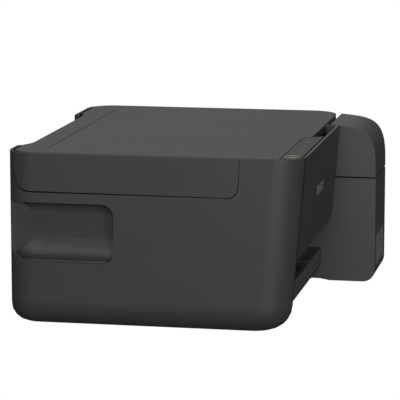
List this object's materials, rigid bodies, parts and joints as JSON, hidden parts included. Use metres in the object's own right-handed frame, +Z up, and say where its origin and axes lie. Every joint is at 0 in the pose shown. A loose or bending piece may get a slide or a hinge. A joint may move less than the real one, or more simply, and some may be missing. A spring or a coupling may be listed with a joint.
{
  "type": "inkjet printer",
  "caption": "Compact ink-tank inkjet printer with a flatbed scanner, raked front panel, rear paper feed, front output tray and a side ink unit.",
  "frame": {"origin": "centre of the footprint on the table, under the whole machine with its ink unit", "axes": "+X to the right as the user faces the front, -Y towards the user, +Z up"},
  "size_m": [0.375, 0.3368, 0.179],
  "materials": {
    "body_plastic": "fine matte moulded texture",
    "top_plastic": "fine matte moulded texture",
    "dark_plastic": "smooth moulded",
    "button_plastic": "satin",
    "indicator_lens": "clear tinted",
    "rubber_black": "matte rubber",
    "steel": "plated sheet and ground shafts",
    "white_plastic": "smooth white",
    "scanner_glass": "float glass",
    "clear_film": "clear flexible plastic",
    "circuit_board": "solder mask",
    "black_ink_tank": "translucent tank with ink",
    "cyan_ink_tank": "translucent tank with ink",
    "magenta_ink_tank": "translucent tank with ink",
    "yellow_ink_tank": "translucent tank with ink"
  },
  "bodies": {
    "base": {"main_case": "body_plastic", "front_panel": "body_plastic", "rear_feed_housing": "body_plastic", "tank_housing": "body_plastic", "control_panel": "top_plastic", "platen": "dark_plastic", "capping_station": "dark_plastic", "power_inlet": "dark_plastic", "power_supply": "dark_plastic", "front_badge": "button_plastic", "power_light": "indicator_lens", "ink_light": "indicator_lens", "timing_belt": "rubber_black", "foot_front_left": "rubber_black", "foot_front_right": "rubber_black", "foot_rear_left": "rubber_black", "foot_rear_right": "rubber_black", "chassis": "steel", "guide_rail": "steel", "carriage_motor": "steel", "feed_motor": "steel", "usb_port": "steel", "encoder_strip": "clear_film", "ink_tubes": "clear_film", "main_board": "circuit_board", "ink_tank_1": "black_ink_tank", "ink_tank_2": "cyan_ink_tank", "ink_tank_3": "magenta_ink_tank", "ink_tank_4": "yellow_ink_tank"},
    "scanner_unit": {"scanner_frame": "body_plastic", "scanner_glass": "scanner_glass", "scan_rod": "steel", "scan_motor": "steel"},
    "lid": {"document_lid": "top_plastic", "lid_pad": "white_plastic"},
    "scan_sled": {"scan_head": "dark_plastic"},
    "feed_cover": {"rear_feed_cover": "top_plastic"},
    "support": {"paper_support": "body_plastic"},
    "guide": {"edge_guide": "dark_plastic"},
    "ink_cover": {"tank_cover": "body_plastic"},
    "cap_1": {"ink_cap_1": "dark_plastic"},
    "cap_2": {"ink_cap_2": "dark_plastic"},
    "cap_3": {"ink_cap_3": "dark_plastic"},
    "cap_4": {"ink_cap_4": "dark_plastic"},
    "tray": {"output_tray": "body_plastic"},
    "extension": {"tray_extension": "body_plastic"},
    "stopper": {"tray_stopper": "dark_plastic"},
    "power_key": {"power_button": "button_plastic"},
    "stop_key": {"stop_button": "button_plastic"},
    "mono_key": {"mono_copy_button": "button_plastic"},
    "colour_key": {"colour_copy_button": "button_plastic"},
    "print_carriage": {"carriage": "dark_plastic", "print_head": "dark_plastic"},
    "belt_drive_wheel": {"motor_pulley": "steel"},
    "belt_idler_wheel": {"idler_pulley": "steel"},
    "feed_shaft": {"feed_roller": "steel"},
    "exit_shaft": {"exit_roller": "rubber_black"},
    "pickup_shaft": {"pickup_roller": "rubber_black"},
    "motor_gear": {"motor_pinion": "white_plastic"}
  },
  "joints": [
    {"name": "scanner_unit_hinge", "type": "hinge", "parent": "base", "child": "scanner_unit", "pos_m": [0, 0.1537, 0.177], "axis": [-1, 0, 0], "range_deg": [0, 25]},
    {"name": "lid_hinge", "type": "hinge", "parent": "scanner_unit", "child": "lid", "pos_m": [0, 0.1537, 0.177], "axis": [-1, 0, 0], "range_deg": [0, 65]},
    {"name": "scan_head_slide", "type": "slide", "parent": "scanner_unit", "child": "scan_sled", "axis": [1, 0, 0], "range_m": [0, 0.27]},
    {"name": "feed_cover_hinge", "type": "hinge", "parent": "base", "child": "feed_cover", "pos_m": [0, 0.1537, 0.177], "axis": [-1, 0, 0], "range_deg": [0, 90]},
    {"name": "paper_support_slide", "type": "slide", "parent": "base", "child": "support", "axis": [0, 0, 1], "range_m": [0, 0.1]},
    {"name": "edge_guide_slide", "type": "slide", "parent": "base", "child": "guide", "axis": [1, 0, 0], "range_m": [0, 0.09]},
    {"name": "ink_cover_hinge", "type": "hinge", "parent": "base", "child": "ink_cover", "pos_m": [0.1425, -0.121, 0.1732], "axis": [-1, 0, 0], "range_deg": [0, 75]},
    {"name": "ink_cap_1_hinge", "type": "hinge", "parent": "base", "child": "cap_1", "pos_m": [0.1157, -0.1296, 0.104], "axis": [-1, 0, 0], "range_deg": [0, 100]},
    {"name": "ink_cap_2_hinge", "type": "hinge", "parent": "base", "child": "cap_2", "pos_m": [0.1319, -0.1296, 0.104], "axis": [-1, 0, 0], "range_deg": [0, 100]},
    {"name": "ink_cap_3_hinge", "type": "hinge", "parent": "base", "child": "cap_3", "pos_m": [0.1481, -0.1296, 0.104], "axis": [-1, 0, 0], "range_deg": [0, 100]},
    {"name": "ink_cap_4_hinge", "type": "hinge", "parent": "base", "child": "cap_4", "pos_m": [0.1643, -0.1296, 0.104], "axis": [-1, 0, 0], "range_deg": [0, 100]},
    {"name": "output_tray_slide", "type": "slide", "parent": "base", "child": "tray", "axis": [0, -1, 0], "range_m": [0, 0.13]},
    {"name": "tray_extension_slide", "type": "slide", "parent": "tray", "child": "extension", "axis": [0, -1, 0], "range_m": [0, 0.1]},
    {"name": "tray_stopper_hinge", "type": "hinge", "parent": "extension", "child": "stopper", "pos_m": [-0.0325, -0.1032, 0.0386], "axis": [1, 0, 0], "range_deg": [0, 85]},
    {"name": "power_button_press", "type": "slide", "parent": "base", "child": "power_key", "axis": [0, 0, -1], "range_m": [0, 0.0012], "stiffness_N_per_m": 300},
    {"name": "stop_button_press", "type": "slide", "parent": "base", "child": "stop_key", "axis": [0, 0, -1], "range_m": [0, 0.0012], "stiffness_N_per_m": 300},
    {"name": "mono_copy_button_press", "type": "slide", "parent": "base", "child": "mono_key", "axis": [0, 0, -1], "range_m": [0, 0.0012], "stiffness_N_per_m": 300},
    {"name": "colour_copy_button_press", "type": "slide", "parent": "base", "child": "colour_key", "axis": [0, 0, -1], "range_m": [0, 0.0012], "stiffness_N_per_m": 300},
    {"name": "carriage_slide", "type": "slide", "parent": "base", "child": "print_carriage", "axis": [-1, 0, 0], "range_m": [0, 0.205]},
    {"name": "drive_pulley_turn", "type": "hinge", "parent": "base", "child": "belt_drive_wheel", "pos_m": [-0.1295, 0.0654, 0.109], "axis": [0, 0, 1], "continuous": true},
    {"name": "idler_pulley_turn", "type": "hinge", "parent": "base", "child": "belt_idler_wheel", "pos_m": [0.1245, 0.0654, 0.109], "axis": [0, 0, 1], "continuous": true},
    {"name": "feed_roller_turn", "type": "hinge", "parent": "base", "child": "feed_shaft", "pos_m": [-0.0005, 0.0504, 0.071], "axis": [1, 0, 0], "continuous": true},
    {"name": "exit_roller_turn", "type": "hinge", "parent": "base", "child": "exit_shaft", "pos_m": [-0.0005, -0.0316, 0.068], "axis": [1, 0, 0], "continuous": true},
    {"name": "pickup_roller_turn", "type": "hinge", "parent": "base", "child": "pickup_shaft", "pos_m": [-0.0005, 0.1249, 0.076], "axis": [1, 0, 0], "continuous": true},
    {"name": "motor_pinion_turn", "type": "hinge", "parent": "base", "child": "motor_gear", "pos_m": [-0.1575, 0.02625, 0.071], "axis": [1, 0, 0], "continuous": true}
  ],
  "couplings": [
    {"joint": "drive_pulley_turn", "follows": "carriage_slide", "rad_per_m": 178.57},
    {"joint": "idler_pulley_turn", "follows": "carriage_slide", "rad_per_m": 178.57},
    {"joint": "exit_roller_turn", "follows": "feed_roller_turn", "ratio": 1},
    {"joint": "pickup_roller_turn", "follows": "feed_roller_turn", "ratio": 0.5},
    {"joint": "motor_pinion_turn", "follows": "feed_roller_turn", "ratio": -3}
  ]
}
